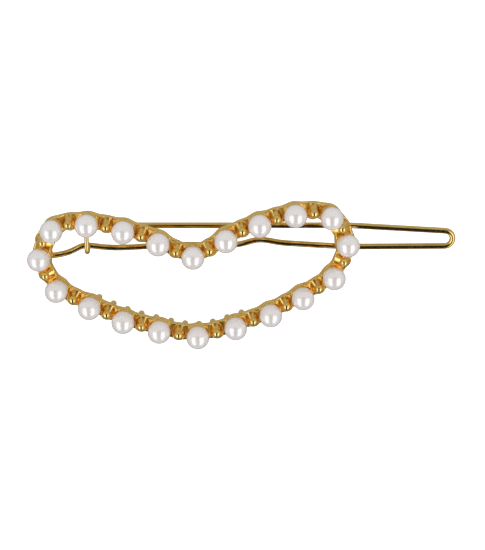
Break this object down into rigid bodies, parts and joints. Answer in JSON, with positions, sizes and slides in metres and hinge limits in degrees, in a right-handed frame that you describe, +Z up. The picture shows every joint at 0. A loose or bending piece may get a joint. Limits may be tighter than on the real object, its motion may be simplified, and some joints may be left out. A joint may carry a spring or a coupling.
{
  "type": "barrette",
  "caption": "Bowed heart-shaped openwork hair slide with imitation pearls between gold balls, on a sprung wire loop whose free leg snaps into a hook catch.",
  "frame": {"origin": "middle of the hair gap, between the wire's two legs and in the wire's plane, behind the middle of the heart", "axes": "+X along the wire legs towards the U-bend, +Z up across the heart, -Y out of the front face"},
  "size_m": [0.0742, 0.0088, 0.0259],
  "materials": {
    "gold_plate": "polished",
    "gold_wire": "polished",
    "solder": "satin",
    "pearl": "pearlescent gloss"
  },
  "bodies": {
    "slide": {"heart_frame": "gold_plate", "pearl_01": "pearl", "pearl_02": "pearl", "pearl_03": "pearl", "pearl_04": "pearl", "pearl_05": "pearl", "pearl_06": "pearl", "pearl_07": "pearl", "pearl_08": "pearl", "pearl_09": "pearl", "pearl_10": "pearl", "pearl_11": "pearl", "pearl_12": "pearl", "pearl_13": "pearl", "pearl_14": "pearl", "pearl_15": "pearl", "pearl_16": "pearl", "pearl_17": "pearl", "pearl_18": "pearl", "pearl_19": "pearl", "pearl_20": "pearl", "wire_fixed_leg": "gold_wire", "catch_hook": "gold_wire", "solder_left": "solder", "solder_right": "solder", "solder_catch": "solder"},
    "free_leg": {"wire_free_leg": "gold_wire"}
  },
  "joints": [
    {"name": "free_leg_flex", "type": "hinge", "parent": "slide", "child": "free_leg", "pos_m": [0.04335, 0, -0.00058], "axis": [0, 0.342, -0.9397], "range_deg": [0, 25], "stiffness_Nm_per_rad": 0.002}
  ]
}
